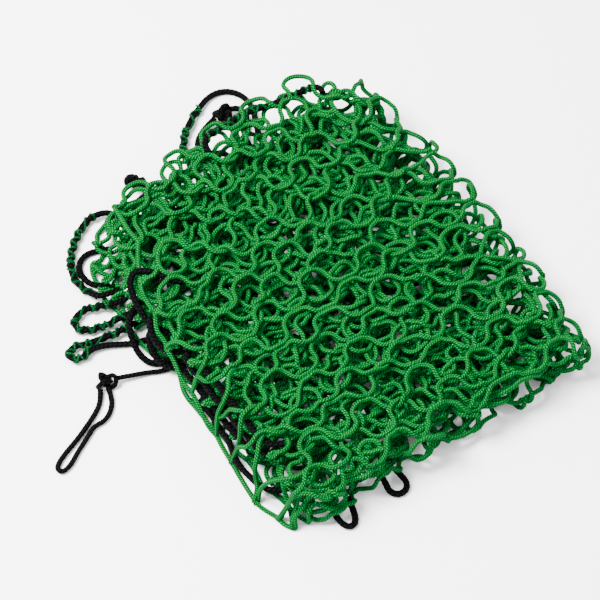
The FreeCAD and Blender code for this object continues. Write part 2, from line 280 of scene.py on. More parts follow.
def plait_group() -> bpy.types.NodeTree:
    """The plait of a braided cord as a shader node group, worked out from its UV in metres.

    Returns:
        A group whose inputs are the UV, the pitch and the plaits round the cord, and whose
        outputs are the height of the plait, a mask of its lit yarns and one of its grooves.
    """
    group = bpy.data.node_groups.new("braid_plait", "ShaderNodeTree")
    face = group.interface
    face.new_socket("UV", in_out="INPUT", socket_type="NodeSocketVector")
    for name, value in (("Pitch", 0.005), ("Plaits", 2.0), ("Fray", 2.2)):
        face.new_socket(name, in_out="INPUT", socket_type="NodeSocketFloat").default_value = value
    for name in ("Height", "Lit", "Groove"):
        face.new_socket(name, in_out="OUTPUT", socket_type="NodeSocketFloat")
    nodes, links = group.nodes, group.links
    came, goes = nodes.new("NodeGroupInput"), nodes.new("NodeGroupOutput")

    def sum_of(operation: str, a: bpy.types.NodeSocket | float,
               b: bpy.types.NodeSocket | float | None = None) -> bpy.types.NodeSocket:
        """Adds one Math node.

        Args:
            operation: What it works out.
            a: Its first socket or number.
            b: Its second socket or number, if it has one.

        Returns:
            Its output.
        """
        node = nodes.new("ShaderNodeMath")
        node.operation = operation
        for slot, value in zip(node.inputs, (a, b)):
            if isinstance(value, bpy.types.NodeSocket):
                links.new(value, slot)
            elif value is not None:
                slot.default_value = value
        return node.outputs[0]

    split = nodes.new("ShaderNodeSeparateXYZ")
    links.new(came.outputs["UV"], split.inputs[0])
    along = sum_of("DIVIDE", split.outputs["X"], came.outputs["Pitch"])
    around = sum_of("MULTIPLY", split.outputs["Y"], came.outputs["Plaits"])
    waves = []
    for way in ("ADD", "SUBTRACT"):
        lay = sum_of(way, along, around)
        waves.append(sum_of("SINE", sum_of("MULTIPLY", lay, 2 * math.pi)))
    over = sum_of("MAXIMUM", waves[0], waves[1])
    cross = sum_of("MULTIPLY", waves[0], waves[1])
    links.new(over, goes.inputs["Height"])
    noise = nodes.new("ShaderNodeTexNoise")
    noise.noise_dimensions = "2D"
    noise.inputs["Scale"].default_value = FRAY_SCALE
    noise.inputs["Detail"].default_value = FRAY_DETAIL
    links.new(came.outputs["UV"], noise.inputs["Vector"])
    ragged = sum_of("MULTIPLY", sum_of("SUBTRACT", noise.outputs["Fac"], 0.5), came.outputs["Fray"])
    lit = sum_of("ADD", waves[0], ragged)
    for value, limits, name in ((lit, LIT_RAMP, "Lit"), (cross, GROOVE_RAMP, "Groove")):
        ramp = nodes.new("ShaderNodeMapRange")
        ramp.interpolation_type = "SMOOTHSTEP"
        ramp.inputs["From Min"].default_value, ramp.inputs["From Max"].default_value = limits
        links.new(value, ramp.inputs["Value"])
        links.new(ramp.outputs["Result"], goes.inputs[name])
    return group


@dataclass(frozen=True)
class BraidFinish:
    """The finish of one kind of braided cord.

    The three colours are linear: the yarn's own, a painted highlight for its lit side, and
    painted shade for the groove between yarns. The pitch is the length of one turn of the plait,
    and patch is how far the brightness drifts.
    """

    name: str
    yarn: tuple[float, float, float]
    lit: tuple[float, float, float]
    painted_groove_shade: tuple[float, float, float]
    pitch: float
    plaits: float
    roughness: float
    gloss: float
    bump: float
    patch: float = 0.25

    def material(self, plait: bpy.types.NodeTree) -> bpy.types.Material:
        """Builds the finish.

        Args:
            plait: The shared plait group.

        Returns:
            The material.
        """
        made = bpy.data.materials.new(self.name)
        made.use_nodes = True
        nodes, links = made.node_tree.nodes, made.node_tree.links
        shader = nodes["Principled BSDF"]
        uv = nodes.new("ShaderNodeUVMap")
        uv.uv_map = BRAID_UV
        group = nodes.new("ShaderNodeGroup")
        group.node_tree = plait
        group.inputs["Pitch"].default_value = self.pitch * MM
        group.inputs["Plaits"].default_value = self.plaits
        links.new(uv.outputs[0], group.inputs["UV"])

        place = nodes.new("ShaderNodeTexCoord")
        patches = nodes.new("ShaderNodeTexNoise")
        patches.inputs["Scale"].default_value = PATCH_SCALE
        patches.inputs["Detail"].default_value = PATCH_DETAIL
        links.new(place.outputs["Object"], patches.inputs["Vector"])
        shade = nodes.new("ShaderNodeMapRange")
        shade.inputs["To Min"].default_value = 1 - self.patch
        shade.inputs["To Max"].default_value = 1 + self.patch
        links.new(patches.outputs["Fac"], shade.inputs["Value"])

        colour: bpy.types.NodeSocket | None = None
        # The Lit mix lays a painted highlight on the yarns' tops, and the Groove mix lays painted
        # shade between the yarns.
        for mask, tint in (("Lit", self.lit), ("Groove", self.painted_groove_shade)):
            mix = nodes.new("ShaderNodeMix")
            mix.data_type = "RGBA"
            links.new(group.outputs[mask], mix.inputs["Factor"])
            if colour is None:
                mix.inputs["A"].default_value = (*self.yarn, 1)
            else:
                links.new(colour, mix.inputs["A"])
            mix.inputs["B"].default_value = (*tint, 1)
            colour = mix.outputs["Result"]
        tone = nodes.new("ShaderNodeVectorMath")
        tone.operation = "SCALE"
        links.new(colour, tone.inputs[0])
        links.new(shade.outputs["Result"], tone.inputs["Scale"])
        links.new(tone.outputs["Vector"], shader.inputs["Base Color"])

        rough = nodes.new("ShaderNodeMapRange")
        rough.inputs["To Min"].default_value = self.roughness
        rough.inputs["To Max"].default_value = min(1.0, self.roughness + GROOVE_ROUGHER)
        links.new(group.outputs["Groove"], rough.inputs["Value"])
        links.new(rough.outputs["Result"], shader.inputs["Roughness"])
        shader.inputs["Specular IOR Level"].default_value = self.gloss

        bump = nodes.new("ShaderNodeBump")
        bump.inputs["Strength"].default_value = self.bump
        bump.inputs["Distance"].default_value = PLAIT_HEIGHT
        links.new(group.outputs["Height"], bump.inputs["Height"])
        links.new(bump.outputs["Normal"], shader.inputs["Normal"])
        return made


# In each finish the lit colour is a painted highlight, and the groove colour is painted shade
# between the yarns.
NET_BRAID = BraidFinish(
    "green_braid", yarn=(0.00005, 0.033, 0.0045), lit=(0.0009, 0.20, 0.034),
    painted_groove_shade=(0.00002, 0.004, 0.0005), pitch=2.4, plaits=3, roughness=0.6, gloss=0.02, bump=0.5)
ROPE_BRAID = BraidFinish(
    "black_braid", yarn=(0.0007, 0.0007, 0.0008), lit=(0.0032, 0.0033, 0.0036),
    painted_groove_shade=(0.0003, 0.0003, 0.0003), pitch=4.2, plaits=3, roughness=0.6, gloss=0.02, bump=0.9)
TIE_BRAID = BraidFinish(
    "tie_braid", yarn=(0.0007, 0.0007, 0.0008), lit=(0.0034, 0.0035, 0.0038),
    painted_groove_shade=(0.0003, 0.0003, 0.0003), pitch=3.6, plaits=2, roughness=0.6, gloss=0.02, bump=0.9)
TWINE_TWIST = BraidFinish(
    "winding_twine", yarn=(0.0001, 0.026, 0.005), lit=(0.0008, 0.10, 0.02),
    painted_groove_shade=(0.0001, 0.01, 0.002), pitch=2.2, plaits=1, roughness=0.5, gloss=0.03, bump=0.7)


# ---------------------------------------------------------------- the folded stack

LEAVES = 8
FOLD_BIGHTS = LEAVES // 2
LOWER_ORDER = (1, 4, 3, 2)
OUTER_BIGHT = 1.5
INNER_BIGHT = 0.5
SPAN_NODES = (
    ("net_leaf_1", "net_leaf_8"), ("near_bight_outer_low", "near_bight_outer_high"),
    ("net_leaf_4", "net_leaf_5"), ("far_bight_low", "far_bight_high"),
    ("net_leaf_3", "net_leaf_6"), ("near_bight_inner_low", "near_bight_inner_high"),
    ("net_leaf_2", "net_leaf_7"),
)


@dataclass(frozen=True)
class LeafEdge:
    """The free outline of one leaf: its open edge from the near side, then its far edge.

    Both end in the leaf's far left corner. An open edge with heights hangs down to them.
    """

    open_edge: tuple[tuple[float, ...], ...]
    far_edge: tuple[tuple[float, float], ...]


LEAF_EDGES = {
    1: LeafEdge(((-130, -171), (-136, -158), (-139, -112), (-137, -2), (-139, 30), (-147, 118),
                 (-120, 170)), ((138, 168), (60, 186), (-46, 191), (-120, 170))),
    2: LeafEdge(((-132, -172), (-130, 28), (-136, 60), (-139, 134), (-104, 175)),
                ((138, 168), (60, 185), (-40, 191), (-104, 175))),
    3: LeafEdge(((-130, -172), (-136, 128), (-92, 166)), ((138, 166), (-92, 166))),
    4: LeafEdge(((-126, -172), (-131, 120), (-90, 166)), ((138, 166), (-90, 166))),
    5: LeafEdge(((-129, -172), (-134, 118), (-88, 166)), ((138, 166), (-88, 166))),
    6: LeafEdge(((-125, -172), (-129, 112), (-84, 166)), ((138, 166), (-84, 166))),
    7: LeafEdge(((-128, -172), (-130, 104), (-92, 172)),
                ((138, 168), (108, 188), (60, 199), (0, 193), (-60, 188), (-92, 172))),
    8: LeafEdge(((-143, -169, 8), (-160, -153, 3), (-157, -125, 3), (-149, -87, 4),
                 (-142, -48, 8), (-141, -27, 15), (-140, -11, 30), (-144, 11, 40),
                 (-135, 29, 48), (-128, 64, 51), (-112, 90, 52), (-102, 112, 52),
                 (-93, 177, 52)),
                ((138, 168), (106, 193), (62, 204), (12, 197), (-38, 184), (-76, 190),
                 (-93, 177))),
}


def along_polyline(points: tuple[tuple[float, ...], ...], share: np.ndarray) -> np.ndarray:
    """Places along a polyline.

    Args:
        points: Its corners, in plan or with heights.
        share: Shares of its length in plan.

    Returns:
        Places as (..., axis), with as many axes as the corners have.
    """
    corners = np.array(points, float)
    runs = np.linalg.norm(np.diff(corners[:, :2], axis=0), axis=1)
    reach = np.concatenate([[0], np.cumsum(runs)])
    at = np.clip(share, 0, 1) * reach[-1]
    return np.stack([np.interp(at, reach, column) for column in corners.T], -1)


@dataclass
class FoldedStack:
    """Where each place of the net lies once it is folded three times.

    The last fold swells out most beside swell_y, the open edge of the top leaf hangs down from
    drape_x on, and the near folds bulge past their round shape.
    """

    hinge_x: float
    hinge_z: float
    near_y: float
    far_y: float
    pitch: float
    leaf_width: float = 268.0
    open_margin: float = 18.0
    overrun: float = 1.03
    swell: float = 21.5
    swell_y: float = 10.0
    swell_reach: float = 190.0
    drape_x: float = -125.0
    drape_limit: float = 0.98
    near_bulge: float = 1.65

    @classmethod
    def of_frame(cls, frame: dict) -> "FoldedStack":
        """Reads the fold lines from the frame's hinge and node boxes.


        Returns:
            The stack.
        """
        hinge = frame["record"]["behaviour"]["joints"][0]["pos_m"]
        low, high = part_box("fold_bight_1")
        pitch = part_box("net_leaf_2")[0].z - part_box("net_leaf_1")[0].z
        return cls(hinge[0] / MM, hinge[2] / MM, low.y / MM, high.y / MM, pitch / MM)

    def middle(self, leaf: int) -> float:
        """The height of the middle of a leaf."""
        first = self.hinge_z - (LEAVES - 1) / 2 * self.pitch
        return first + (leaf - 1) * self.pitch

    def spans(self) -> list[float]:
        """The lengths of the leaves and bights along the net.

        Returns:
            One length for each span in SPAN_NODES, from one free edge to the other.
        """
        shut_leaf = self.far_y - self.near_y
        open_leaf = shut_leaf + self.open_margin
        outer, inner = (turn * math.pi * self.pitch for turn in (OUTER_BIGHT, INNER_BIGHT))
        return [open_leaf, outer, shut_leaf, inner, shut_leaf, inner, open_leaf]

    def zone(self, s: np.ndarray) -> tuple[np.ndarray, np.ndarray]:
        """Finds the span that each place along the net is in.

        Args:
            s: Lengths along the net.

        Returns:
            The span's number, and the share of it that lies before the place.
        """
        ends = np.concatenate([[0], np.cumsum(self.spans())])
        span = np.clip(np.searchsorted(ends, s, side="right") - 1, 0, len(SPAN_NODES) - 1)
        return span, (s - ends[span]) / np.array(self.spans())[span]

    def half_stack(self, s: np.ndarray) -> tuple[np.ndarray, ...]:
        """The place of a strand in the lower half of the stack.

        Args:
            s: Lengths along the net.

        Returns:
            The leaf that it belongs to, the share of that leaf from its near side, a shift in
            y past the fold, and its height.
        """
        span, share = self.zone(s)
        turn = np.pi * np.clip(share, 0, 1)
        leaf = np.repeat(LOWER_ORDER, 2)[span]
        deep = np.choose(span, [1 - share, 0 * s, share, 0 * s + 1, 1 - share, 0 * s, share])
        small, large = INNER_BIGHT * self.pitch, OUTER_BIGHT * self.pitch
        near = -self.near_bulge * np.sin(turn)
        shift = np.choose(span, [0 * s, large * near, 0 * s, small * np.sin(turn), 0 * s,
                                 small * near, 0 * s])
        near_middle, far_middle = self.middle(2) + small, self.middle(3) + small
        height = np.choose(span, [
            0 * s + self.middle(1), near_middle - large * np.cos(turn), 0 * s + self.middle(4),
            far_middle + small * np.cos(turn), 0 * s + self.middle(3),
            near_middle + small * np.cos(turn), 0 * s + self.middle(2)])
        return leaf, deep, shift, height

    def fold_radius(self, s: np.ndarray) -> np.ndarray:
        """The radius of each strand's turn about the hinge."""
        return self.hinge_z - self.half_stack(s)[3]

    def arc(self, s: np.ndarray) -> np.ndarray:
        """The length of each strand's turn about the hinge."""
        return np.pi * self.fold_radius(s)

    def leaf_place(self, number: int, across: np.ndarray, deep: np.ndarray) -> np.ndarray:
        """The place in plan on one leaf, between its four edges.

        Args:
            number: The leaf.
            across: The share from the last fold to the open edge.
            deep: The share from the near side to the far side.

        Returns:
            Places as (..., 2).
        """
        edge = LEAF_EDGES[number]
        a, b = across[..., None], deep[..., None]
        near_right = np.array([self.hinge_x, self.near_y])
        far_right = np.array([self.hinge_x, self.far_y])
        near_left, far_left = (np.array(edge.open_edge[end][:2]) for end in (0, -1))
        right = near_right + (far_right - near_right) * b
        left = along_polyline(edge.open_edge, deep)[..., :2]
        near = near_right + (near_left - near_right) * a
        far = along_polyline((tuple(far_right), *edge.far_edge[1:]), across)
        corners = ((1 - a) * (1 - b) * near_right + a * (1 - b) * near_left
                   + (1 - a) * b * far_right + a * b * far_left)
        return (1 - a) * right + a * left + (1 - b) * near + b * far - corners

    def draped(self, height: np.ndarray, across: np.ndarray, deep: np.ndarray) -> np.ndarray:
        """The heights of places on the top leaf, which hangs down over its open edge.

        Args:
            height: The heights that they would have in a flat leaf.
            across: The share from the last fold to the open edge.
            deep: The share from the near side to the far side.

        Returns:
            Their heights.
        """
        edge = along_polyline(LEAF_EDGES[LEAVES].open_edge, deep)
        flat = (self.hinge_x - self.drape_x) / (self.hinge_x - edge[..., 0])
        flat = np.minimum(self.drape_limit, flat)
        share = np.clip((across - flat) / (1 - flat), 0, 1)
        return height - (height - edge[..., 2]) * share ** 3

    def place(self, s: np.ndarray, t: np.ndarray) -> np.ndarray:
        """The folded place of each point of the net.

        Args:
            s: Lengths along the net, across the first two folds.
            t: From -1 at the lower half's open edge to 1 at the upper half's.

        Returns:
            Places as (..., 3).
        """
        leaf, deep, shift, height = self.half_stack(s)
        radius = self.hinge_z - height
        arc = np.pi * radius
        q = t * (self.leaf_width + arc / 2)
        across = np.clip((np.abs(q) - arc / 2) / self.leaf_width, 0, self.overrun)
        plan = np.zeros(s.shape + (2,))
        for lower in LOWER_ORDER:
            for number, chosen in ((lower, q < 0), (LEAVES + 1 - lower, q >= 0)):
                mine = (leaf == lower) & chosen
                plan[mine] = self.leaf_place(number, across[mine], deep[mine])
        turn = np.clip(q / np.maximum(arc / 2, TINY), -1, 1) * np.pi / 2
        swell = self.swell * np.maximum(
            0, 1 - ((plan[..., 1] - self.swell_y) / self.swell_reach) ** 2) * radius / self.hinge_z
        x = plan[..., 0] + (radius + swell) * np.cos(turn)
        z = self.hinge_z + radius * np.sin(turn)
        top = (leaf == 1) & (q >= 0)
        z[top] = self.draped(z[top], across[top], deep[top])
        return np.stack([x, plan[..., 1] + shift, z], -1)


# ---------------------------------------------------------------- settling


@dataclass
class Settling:
    """Lets cords that have slack find room beside each other, by moving points in turns.

    A cord keeps its run lengths by stretch, and resists bending over two, four and eight runs by
    the three bends. The spans are how much of their straight length four and eight runs keep.
    """

    contact: float
    steps: int = 260
    stretch: float = 0.9
    stretch_turns: int = 2
    bend: float = 0.45
    wide_bend: float = 0.28
    wide_span: float = 0.98
    widest_bend: float = 0.12
    widest_span: float = 0.9
    snug: float = 0.93
    home_pull: float = 0.006
    sink: float = 0.03
    band: float = 3.6
    pair_turns: int = 4
    lookout: float = 1.2
    own_points: int = 3
    crowding: float = 0.6

    def pairs(self, points: np.ndarray, strand: np.ndarray,
              index: np.ndarray) -> tuple[np.ndarray, np.ndarray]:
        """Finds points near enough to touch that aren't neighbours on one cord.

        Args:
            points: All points as (point, 3).
            strand: The cord that each is on.
            index: Its place on that cord.

        Returns:
            The two points of each pair.
        """
        reach = self.contact + self.lookout
        cell = np.floor(points / reach).astype(np.int64)
        cell -= cell.min(0) - 1
        size = cell.max(0) + 2
        key = (cell[:, 0] * size[1] + cell[:, 1]) * size[2] + cell[:, 2]
        order = np.argsort(key, kind="stable")
        ordered = key[order]
        here = np.arange(len(points))
        found_a, found_b = [], []
        shifts = [(x, y, z) for x in (-1, 0, 1) for y in (-1, 0, 1) for z in (-1, 0, 1)]
        for x, y, z in shifts[len(shifts) // 2:]:
            want = key + (x * size[1] + y) * size[2] + z
            first = np.searchsorted(ordered, want, "left")
            count = np.searchsorted(ordered, want, "right") - first
            a = np.repeat(here, count)
            skip = np.repeat(first - np.concatenate([[0], np.cumsum(count)[:-1]]), count)
            b = order[np.arange(len(a)) + skip]
            if (x, y, z) == (0, 0, 0):
                keep = a < b
                a, b = a[keep], b[keep]
            gap = points[a] - points[b]
            keep = (np.einsum("ij,ij->i", gap, gap) < reach ** 2) & (
                (strand[a] != strand[b]) | (np.abs(index[a] - index[b]) > self.own_points))
            found_a.append(a[keep])
            found_b.append(b[keep])
        return np.concatenate(found_a), np.concatenate(found_b)

    def part(self, points: np.ndarray, a: np.ndarray, b: np.ndarray, moving: int) -> None:
        """Pushes touching points apart, in place.

        Args:
            points: All points as (point, 3).
            a: The first point of each pair.
            b: The second point of each pair.
            moving: How many points can move. Those after them stay still.
        """
        gap = points[a] - points[b]
        far = np.sqrt(np.einsum("ij,ij->i", gap, gap)) + TINY
        deep = self.contact - far
        touch = deep > 0
        a, b, gap, deep, far = a[touch], b[touch], gap[touch], deep[touch], far[touch]
        push = gap * (deep / far)[:, None]
        held_a, held_b = a >= moving, b >= moving
        push_a = push * np.where(held_b, 1.0, 0.5)[:, None]
        push_b = push * np.where(held_a, 1.0, 0.5)[:, None]
        total = len(points)
        count = np.bincount(a, minlength=total) + np.bincount(b, minlength=total)
        share = 1.0 / np.maximum(1, count * self.crowding)
        for axis in range(3):
            move = (np.bincount(a, push_a[:, axis], total) - np.bincount(b, push_b[:, axis], total))
            points[:moving, axis] += (move * share)[:moving]

    @staticmethod
    def draw(points: np.ndarray, gap: int, rest: np.ndarray, stiff: float) -> None:
        """Brings points on each cord towards their distance at rest, in place.

        Args:
            points: Points as (cord, point, 3).
            gap: How many runs lie between the two points of a pair.
            rest: The distance at rest from each point to its partner.
            stiff: The share of the error that one step takes away.
        """
        for colour in range(2):
            for first in range(gap):
                start = first + colour * gap
                a = points[:, start:-gap or None:2 * gap]
                b = points[:, start + gap::2 * gap]
                many = min(a.shape[1], b.shape[1])
                a, b = a[:, :many], b[:, :many]
                want = rest[:, start::2 * gap][:, :many]
                step = b - a
                far = np.sqrt(np.einsum("ijk,ijk->ij", step, step)) + TINY
                move = step * (0.5 * stiff * (far - want) / far)[..., None]
                a += move
                b -= move

    def settle(self, cords: np.ndarray, home: np.ndarray, normal: np.ndarray, rest: np.ndarray,
               hold: np.ndarray, joined: tuple[np.ndarray, np.ndarray], low: np.ndarray,
               high: np.ndarray, fixed: np.ndarray) -> np.ndarray:
        """Moves the cords until they have their lengths and touch without running through.

        Args:
            cords: Points as (cord, point, 3).
            home: Where each point started.
            normal: The direction across each point's leaf.
            rest: The length of each run, as (cord, run).
            hold: How strongly each point is drawn home.
            joined: Two arrays of flat indices of points that stay side by side.
            low: The lowest height of each point.
            high: The highest height of each point.
            fixed: Points of ropes that the cords keep clear of.

        Returns:
            The settled points.
        """
        lines, count = cords.shape[:2]
        moving = lines * count
        flat = np.concatenate([cords.reshape(-1, 3), fixed])
        strand = np.concatenate([np.repeat(np.arange(lines), count), np.full(len(fixed), -1)])
        index = np.concatenate([np.tile(np.arange(count), lines), np.zeros(len(fixed), int)])
        two = rest[:, 1:] + rest[:, :-1]
        four = self.wide_span * (two[:, 2:] + two[:, :-2])
        eight = self.widest_span * (four[:, 4:] + four[:, :-4])
        side_a, side_b = joined
        beside = self.snug * self.contact
        for step in range(self.steps):
            if step % self.pair_turns == 0:
                a, b = self.pairs(flat, strand, index)
            shaped = flat[:moving].reshape(lines, count, 3)
            shaped[..., 2] -= self.sink
            shaped += (home - shaped) * hold[..., None]
            self.draw(shaped, 8, eight, self.widest_bend)
            self.draw(shaped, 4, four, self.wide_bend)
            self.draw(shaped, 2, two, self.bend)
            for _ in range(self.stretch_turns):
                self.draw(shaped, 1, rest, self.stretch)
            gap = flat[side_a] - flat[side_b]
            far = np.linalg.norm(gap, axis=1, keepdims=True) + TINY
            move = 0.5 * gap * (far - beside) / far
            flat[side_a] -= move
            flat[side_b] += move
            self.part(flat, a, b, moving)
            out = np.einsum("ijk,ijk->ij", shaped - home, normal)
            over = out - np.clip(out, -self.band, self.band)
            shaped -= normal * over[..., None]
            np.clip(shaped[..., 2], low, high, out=shaped[..., 2])
        return flat[:moving].reshape(lines, count, 3)


# ---------------------------------------------------------------- the net


@dataclass
class FoldedNet:
    """The green net, laid out strand by strand across the folded stack.

    Each strand crosses the whole net, and is joined at each column to the strand on one side of it
    or the other in turn. A bar is the stretch of a strand from one column to the next, and wander
    is how far its ends stray. Along the open edges the cells are closed by tips, and joined by
    bars of their own that bulge and sway. The two blends are shares of a fold bight's radius,
    from which each bight piece works out a reach about the hinge that nothing uses.
    """

    stack: FoldedStack
    cord: float = 4.4
    row: float = 18.5
    inner_row: float = 15.0
    columns: int = 24
    points_per_bar: int = 10
    bar: float = 37.0
    bar_spread: float = 5.5
    shortest_bar: float = 0.72
    longest_bar: float = 1.35
    join_share: float = 0.12
    curl: float = 5.0
    curl_across: float = 0.7
    wander: float = 5.5
    hem: float = 0.5
    jitter: float = 0.8
    bight_pull: float = 0.03
    squash: float = 0.985
    floor_gap: float = 0.05
    top_room: float = 0.5
    sag: float = 6.0
    hang_depth: float = 1.0
    tip_height: float = 0.6
    tip_inward: int = 3
    edge_belly: tuple[float, float] = (1.0, 5.0)
    edge_sway: float = 2.5
    edge_lift: float = 0.5
    edge_points: int = 13
    edge_inward: int = 4
    fold_margin: float = 0.6
    outer_blend: float = 0.8
    inner_blend: float = 0.5
    fine: int = 3
    strand_shift: float = 0.37
    edge_shift: float = 0.61
    form: CordForm = CordForm(radius=2.2, sides=8, pitch=3.4, relief=0.015)

    def __post_init__(self) -> None:
        """Spaces the strands, closer in the leaves inside the stack, and seeds the draws."""
        spans = self.stack.spans()
        self.length = sum(spans)
        outer = spans[0] + spans[1] / 2
        outer_rows = round(outer / self.row)
        inner_rows = round((self.length - outer) / self.inner_row)
        edges = np.concatenate([np.linspace(0, outer, outer_rows, endpoint=False),
                                np.linspace(outer, self.length, inner_rows + 1)])
        self.middles = (edges[1:] + edges[:-1]) / 2
        self.spreads = np.diff(edges)
        self.strands = len(self.middles)
        self.random = np.random.default_rng(SEED)
        self.points = self.columns * self.points_per_bar + 1

    def joins(self, strand: int, column: int) -> int:
        """The pair that a strand is joined in at a column, named by its lower strand."""
        return strand if (strand + column) % 2 == 0 else strand - 1

    def lay_out(self) -> tuple[np.ndarray, np.ndarray]:
        """Lays out the strands of the net before it is folded.

        Returns:
            Each point's length along the net and its share across it, as (strand, point).
        """
        rows, columns = self.strands, self.columns
        drift = self.random.normal(0, self.wander, (rows + 1, columns + 1, 2))
        knots_s = np.zeros((rows, columns + 1))
        knots_t = np.zeros((rows, columns + 1))
        for j in range(rows):
            for c in range(columns + 1):
                pair = self.joins(j, c)
                side = 1 if pair == j else -1
                knots_s[j, c] = self.middles[j] + side * (self.spreads[j] - self.cord) / 2
                knots_s[j, c] += drift[pair, c, 0]
                inner = 0.0 if c in (0, columns) else 1.0
                knots_t[j, c] = 2 * (c + inner * drift[pair, c, 1] / self.row) / columns - 1
        step = np.arange(self.points) / self.points_per_bar
        column = np.minimum(step.astype(int), columns - 1)
        part = step - column
        ease = np.clip((part - self.join_share) / (1 - 2 * self.join_share), 0, 1)
        ease = ease * ease * (3 - 2 * ease)
        s = knots_s[:, column] * (1 - ease) + knots_s[:, column + 1] * ease
        t = knots_t[:, column] * (1 - part) + knots_t[:, column + 1] * part
        for turns in (1, 2):
            swing = self.random.normal(0, self.curl / turns, (2, rows, columns))
            wave = np.sin(np.pi * part * turns)
            s += swing[0][:, column] * wave
            t += swing[1][:, column] * wave * self.curl_across / self.stack.leaf_width
        return np.clip(s, self.hem, self.length - self.hem), t

    def side_by_side(self) -> tuple[np.ndarray, np.ndarray]:
        """Finds the points where two strands are joined.

        Returns:
            Flat indices of the points on the one strand and on the other.
        """
        first, second = [], []
        for j in range(self.strands - 1):
            for c in range(self.columns + 1):
                if self.joins(j, c) != j:
                    continue
                for shift in (-1, 0, 1):
                    i = c * self.points_per_bar + shift
                    if 0 <= i < self.points:
                        first.append(j * self.points + i)
                        second.append((j + 1) * self.points + i)
        return np.array(first), np.array(second)

    def fold(self, ropes: np.ndarray) -> np.ndarray:
        """Folds the net and lets it settle.

        Args:
            ropes: Points of the ropes that its cords keep clear of.

        Returns:
            Each strand's line as (strand, point, 3).
        """
        stack, radius, middle = self.stack, self.cord / 2, self.stack.hinge_z
        s, t = self.lay_out()
        home = stack.place(s, t)
        step_s, step_t = 0.5, 0.002
        along = stack.place(s + step_s, t) - stack.place(s - step_s, t)
        over = stack.place(s, t + step_t) - stack.place(s, t - step_t)
        normal = unit(np.cross(over, along))
        bars = self.random.normal(self.bar, self.bar_spread, (self.strands, self.columns))
        bars = np.clip(bars, self.shortest_bar * self.bar, self.longest_bar * self.bar)
        rest = np.repeat(bars / self.points_per_bar, self.points_per_bar, axis=1)
        steep = np.linalg.norm(np.diff(home, axis=1), axis=2)
        below_top = home[:, 1:, 2] < stack.middle(LEAVES) - self.hang_depth
        hangs = below_top & (home[:, 1:, 0] < stack.drape_x) & (t[:, 1:] > 0)
        rest = np.where(hangs, np.maximum(rest, steep), rest)
        half_turn = stack.arc(s) / 2
        on_fold = np.abs(t) < half_turn / (stack.leaf_width + half_turn)
        span, _ = stack.zone(s)
        on_bight = (span % 2 == 1) | on_fold
        lower = t < 0
        hanging = np.minimum(middle + radius, np.maximum(radius, home[..., 2] - self.sag))
        low = np.where(lower | on_fold, radius + self.floor_gap, hanging)
        high = np.where(lower & ~on_fold, middle - radius, 2 * middle - radius + self.top_room)
        start = home + normal * self.random.normal(0, self.jitter, s.shape)[..., None]
        settling = Settling(self.cord * self.squash)
        hold = np.where(on_bight, self.bight_pull, settling.home_pull)
        return settling.settle(start, home, normal, rest, hold, self.side_by_side(), low, high,
                               ropes)

    def closed(self, lines: np.ndarray) -> np.ndarray:
        """Closes the cells along the open edges.

        Args:
            lines: The strands' lines.

        Returns:
            The lines with one more point at each end, which two joined strands share.
        """
        first, last = lines[:, :1].copy(), lines[:, -1:].copy()
        for tips, inner, column in ((first, lines[:, self.tip_inward], 0),
                                    (last, lines[:, -1 - self.tip_inward], self.columns)):
            for j in range(self.strands - 1):
                if self.joins(j, column) == j:
                    tip = (tips[j, 0] + tips[j + 1, 0]) / 2
                    out = unit(tip - (inner[j] + inner[j + 1]) / 2)
                    tip += out * self.cord / 2
                    tip[2] = max(tip[2], self.tip_height * self.cord)
                    tips[j, 0] = tips[j + 1, 0] = tip
        return np.concatenate([first, lines, last], axis=1)

    def border_bar(self, lines: np.ndarray, strand: int, end: int,
                   inner: int) -> tuple[np.ndarray, np.ndarray]:
        """The bar that joins two cells' closed ends along an open edge.

        Args:
            lines: The strands' lines.
            strand: The first strand of the cell that it starts from.
            end: The index of the strands' last point.
            inner: The index of a point further in, which shows the way out.

        Returns:
            The bar's rings and each ring's place along it.
        """
        here, there = lines[strand, end], lines[strand + 2, end]
        out = unit(here + there - lines[strand, inner] - lines[strand + 2, inner])
        belly = self.random.uniform(*self.edge_belly)
        sway = self.random.uniform(-self.edge_sway, self.edge_sway)
        share = np.linspace(0, 1, self.edge_points)[:, None]
        bar = here * (1 - share) + there * share + out * belly * np.sin(np.pi * share)
        bar += (out + (0, 0, self.edge_lift)) * sway * np.sin(2 * np.pi * share)
        bar = refine(bar[None], self.fine)
        bar[..., 2] = np.maximum(bar[..., 2], self.cord / 2)
        rings, along = self.form.rings(bar)
        return rings[0], along[0]

    def runs(self, strand: int, line: np.ndarray) -> list[tuple[str, int, int]]:
        """The stretches that a strand is split into, each with the node that it stands for.

        Args:
            strand: The strand's number along the net.
            line: Its points.

        Returns:
            Rows of node, first ring and last ring.
        """
        stack = self.stack
        middle = self.middles[strand:strand + 1]
        span = int(stack.zone(middle)[0][0])
        ends = np.concatenate([[0], np.cumsum(stack.spans())])
        for bight in (1, 3, 5):
            if np.argmin(np.abs(self.middles - (ends[bight] + ends[bight + 1]) / 2)) == strand:
                span = bight
        low_node, high_node = SPAN_NODES[span]
        radius = float(stack.fold_radius(middle)[0])
        level = int(np.clip(round(radius / stack.pitch - 0.5), 0, FOLD_BIGHTS - 1))
        beyond = np.flatnonzero(line[:, 0] > stack.hinge_x - self.fold_margin * self.cord)
        first, last = int(beyond[0]), int(beyond[-1])
        return [(low_node, 0, first), (f"fold_bight_{level + 1}", first, last),
                (high_node, last, len(line) - 1)]

